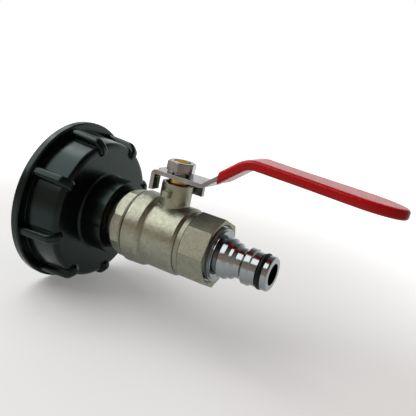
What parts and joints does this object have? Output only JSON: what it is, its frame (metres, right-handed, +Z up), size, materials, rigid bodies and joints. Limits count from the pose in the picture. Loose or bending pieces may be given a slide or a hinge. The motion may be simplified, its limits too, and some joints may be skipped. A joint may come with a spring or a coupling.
{
  "type": "tank outlet valve",
  "caption": "Ball valve with a bent lever and dipped grip, screwed into a ribbed cap with a coarse inner thread, with a grooved push-fit hose plug at its outlet.",
  "frame": {"origin": "centre of the cap's open mouth, on the pipe axis", "axes": "+X along the flow, from the cap's mouth to the hose plug's tip; +Z up along the stem; +Y to the far side of the lever's plain edge"},
  "size_m": [0.162, 0.0808, 0.0871],
  "materials": {
    "cap_plastic": "satin moulded black",
    "seal_rubber": "smooth black",
    "nickel_plate": "satin nickel plate over cast brass",
    "seat_plastic": "waxy white",
    "ball_chrome": "polished",
    "joint_compound": "dull dried sealant",
    "plug_chrome": "mirror",
    "plain_brass": "turned, unplated",
    "zinc_steel": "bright zinc plate",
    "grip_vinyl": "dipped glossy red"
  },
  "bodies": {
    "valve": {"tank_cap": "cap_plastic", "cap_gasket": "seal_rubber", "inlet_gasket": "seal_rubber", "valve_body": "nickel_plate", "inlet_seat": "seat_plastic", "outlet_seat": "seat_plastic", "end_adapter": "nickel_plate", "joint_seal": "joint_compound", "plug_gasket": "seal_rubber", "hose_plug": "plug_chrome", "plug_o_ring": "seal_rubber", "thrust_washer": "seat_plastic", "stem_packing": "seat_plastic", "packing_gland": "plain_brass"},
    "handle": {"stem": "plain_brass", "lever": "zinc_steel", "lever_grip": "grip_vinyl", "lock_washer": "zinc_steel", "lever_nut": "zinc_steel"},
    "closer": {"ball": "ball_chrome"}
  },
  "joints": [
    {"name": "lever_turn", "type": "hinge", "parent": "valve", "child": "handle", "pos_m": [0.06025, 0, 0], "axis": [0, 0, 1], "range_deg": [-90, 0]},
    {"name": "ball_turn", "type": "hinge", "parent": "valve", "child": "closer", "pos_m": [0.06025, 0, 0], "axis": [0, 0, 1], "range_deg": [-90, 0]}
  ],
  "couplings": [
    {"joint": "ball_turn", "follows": "lever_turn", "ratio": 1}
  ]
}
